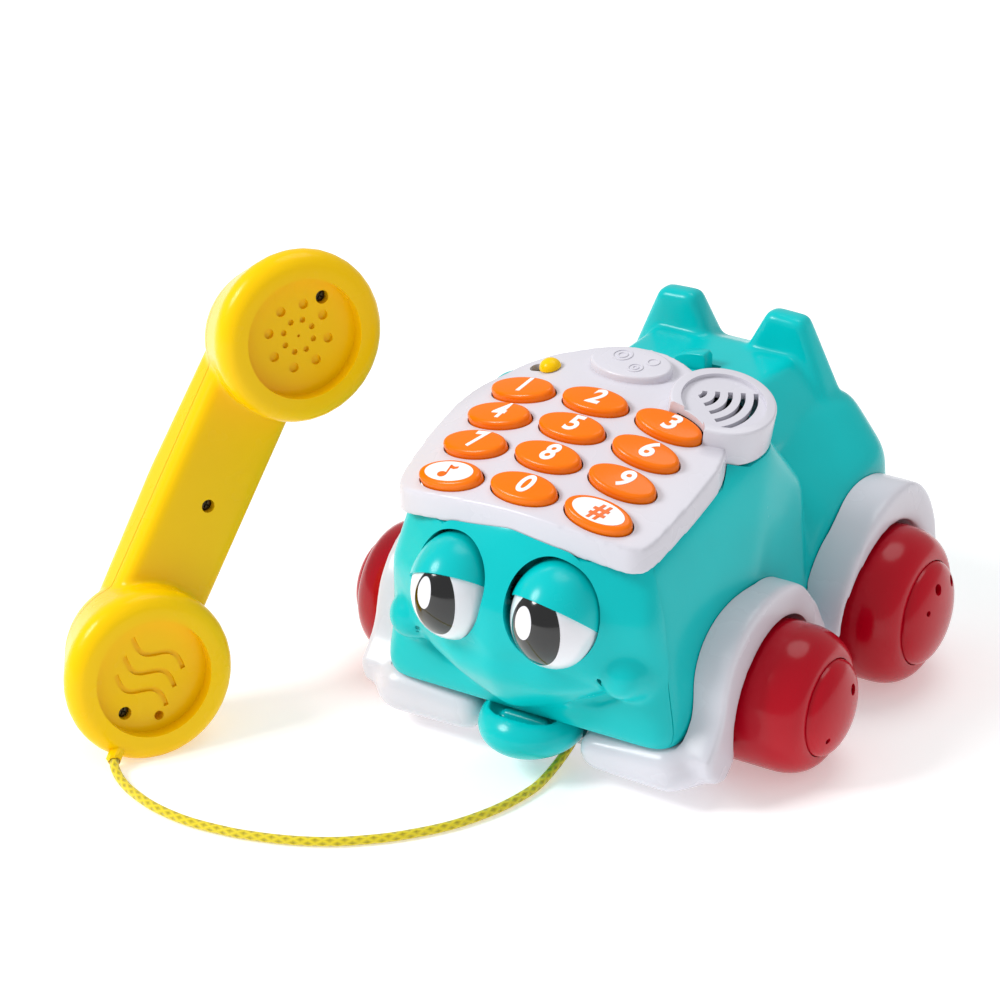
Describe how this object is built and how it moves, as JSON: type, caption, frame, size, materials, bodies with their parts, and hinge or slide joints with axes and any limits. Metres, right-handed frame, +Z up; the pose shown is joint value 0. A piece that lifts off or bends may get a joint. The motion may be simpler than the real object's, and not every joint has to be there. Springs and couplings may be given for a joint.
{
  "type": "pull-along toy telephone",
  "caption": "Toy telephone shaped as a smiling car, with a keypad bonnet, rolling eyes, four wheels, a cradle and a separate handset on a cord",
  "frame": {"origin": "on the floor under the middle of the whole toy's box, car and handset together", "axes": "+Z up, the face looks along -Y, +X is the car's own left side"},
  "size_m": [0.2298, 0.2423, 0.1546],
  "materials": {
    "teal": "teal, glossy, faintly uneven moulding",
    "white": "white with a faint lilac cast, glossy",
    "orange": "orange, glossy",
    "yellow": "warm yellow, glossy",
    "red": "red, glossy",
    "numeral_white": "white printed numerals",
    "eye": "white, high gloss, with printed pupils",
    "pupil": "black print",
    "steel": "plain drawn steel",
    "screw": "dark zinc-plated",
    "rubber": "grey silicone rubber",
    "board": "green solder resist",
    "black": "black, matt",
    "cell": "blue label on a steel can",
    "cord": "yellow braid"
  },
  "bodies": {
    "car": {"body_shell": "teal", "face_shell": "teal", "chassis": "white", "keypad_panel": "white", "eye_bracket": "black", "hook_pin": "steel", "key_mat": "rubber", "circuit_board": "board", "speaker": "black", "battery_box": "black", "battery_left": "cell", "battery_right": "cell", "battery_door": "white", "battery_door_screw": "screw", "chassis_screw_1": "screw", "chassis_screw_2": "screw", "chassis_screw_3": "screw", "chassis_screw_4": "screw", "cord": "cord", "cord_knot": "cord"},
    "key_1": {"key_1": "orange"},
    "key_2": {"key_2": "orange"},
    "key_3": {"key_3": "orange"},
    "key_4": {"key_4": "orange"},
    "key_5": {"key_5": "orange"},
    "key_6": {"key_6": "orange"},
    "key_7": {"key_7": "orange"},
    "key_8": {"key_8": "orange"},
    "key_9": {"key_9": "orange"},
    "key_note": {"key_note": "orange"},
    "key_0": {"key_0": "orange"},
    "key_hash": {"key_hash": "orange"},
    "wheels_front": {"axle_front": "steel", "wheel_front_left": "red", "wheel_front_right": "red", "hub_cap_front_left": "red", "hub_cap_front_right": "red"},
    "wheels_rear": {"axle_rear": "steel", "wheel_rear_left": "red", "wheel_rear_right": "red", "hub_cap_rear_left": "red", "hub_cap_rear_right": "red"},
    "eyes": {"eye_shaft": "steel", "eyeball_left": "eye", "eyeball_right": "eye"},
    "switch": {"switch_knob": "yellow"},
    "hook": {"hook_lever": "teal"},
    "handset": {"handset_front": "yellow", "handset_back": "yellow", "handset_screw_ear": "screw", "handset_screw_grip": "screw", "handset_screw_mouth": "screw", "cord_collar": "yellow"}
  },
  "joints": [
    {"name": "key_1_press", "type": "slide", "parent": "car", "child": "key_1", "axis": [0.1648, 0.1989, -0.9661], "range_m": [0, 0.0015], "stiffness_N_per_m": 300, "springref_m": -0.0008},
    {"name": "key_2_press", "type": "slide", "parent": "car", "child": "key_2", "axis": [0, 0.2017, -0.9795], "range_m": [0, 0.0015], "stiffness_N_per_m": 300, "springref_m": -0.0008},
    {"name": "key_3_press", "type": "slide", "parent": "car", "child": "key_3", "axis": [-0.1648, 0.1989, -0.9661], "range_m": [0, 0.0015], "stiffness_N_per_m": 300, "springref_m": -0.0008},
    {"name": "key_4_press", "type": "slide", "parent": "car", "child": "key_4", "axis": [0.1629, 0.2469, -0.9552], "range_m": [0, 0.0015], "stiffness_N_per_m": 300, "springref_m": -0.0008},
    {"name": "key_5_press", "type": "slide", "parent": "car", "child": "key_5", "axis": [0, 0.2503, -0.9682], "range_m": [0, 0.0015], "stiffness_N_per_m": 300, "springref_m": -0.0008},
    {"name": "key_6_press", "type": "slide", "parent": "car", "child": "key_6", "axis": [-0.1629, 0.2469, -0.9552], "range_m": [0, 0.0015], "stiffness_N_per_m": 300, "springref_m": -0.0008},
    {"name": "key_7_press", "type": "slide", "parent": "car", "child": "key_7", "axis": [0.1607, 0.2932, -0.9424], "range_m": [0, 0.0015], "stiffness_N_per_m": 300, "springref_m": -0.0008},
    {"name": "key_8_press", "type": "slide", "parent": "car", "child": "key_8", "axis": [0, 0.2971, -0.9549], "range_m": [0, 0.0015], "stiffness_N_per_m": 300, "springref_m": -0.0008},
    {"name": "key_9_press", "type": "slide", "parent": "car", "child": "key_9", "axis": [-0.1607, 0.2932, -0.9424], "range_m": [0, 0.0015], "stiffness_N_per_m": 300, "springref_m": -0.0008},
    {"name": "key_note_press", "type": "slide", "parent": "car", "child": "key_note", "axis": [0.1583, 0.3375, -0.9279], "range_m": [0, 0.0015], "stiffness_N_per_m": 300, "springref_m": -0.0008},
    {"name": "key_0_press", "type": "slide", "parent": "car", "child": "key_0", "axis": [0, 0.3418, -0.9398], "range_m": [0, 0.0015], "stiffness_N_per_m": 300, "springref_m": -0.0008},
    {"name": "key_hash_press", "type": "slide", "parent": "car", "child": "key_hash", "axis": [-0.1583, 0.3375, -0.9279], "range_m": [0, 0.0015], "stiffness_N_per_m": 300, "springref_m": -0.0008},
    {"name": "wheels_front_roll", "type": "hinge", "parent": "car", "child": "wheels_front", "pos_m": [0.02487, 0.00726, 0.0243], "axis": [1, 0, 0], "continuous": true},
    {"name": "wheels_rear_roll", "type": "hinge", "parent": "car", "child": "wheels_rear", "pos_m": [0.02487, 0.07696, 0.0268], "axis": [1, 0, 0], "continuous": true},
    {"name": "eyes_roll", "type": "hinge", "parent": "car", "child": "eyes", "pos_m": [0.02487, -0.05094, 0.0656], "axis": [1, 0, 0], "range_deg": [-18, 18]},
    {"name": "switch_slide", "type": "slide", "parent": "car", "child": "switch", "axis": [-0.9868, 0, -0.1618], "range_m": [0, 0.0047]},
    {"name": "hook_press", "type": "hinge", "parent": "car", "child": "hook", "pos_m": [0.01937, 0.06666, 0.096], "axis": [0, 1, 0], "range_deg": [0, 18], "stiffness_Nm_per_rad": 0.004, "springref_deg": -8.59},
    {"name": "handset_lift", "type": "slide", "parent": "car", "child": "handset", "axis": [0, 0, 1], "range_m": [0, 0.1]}
  ]
}
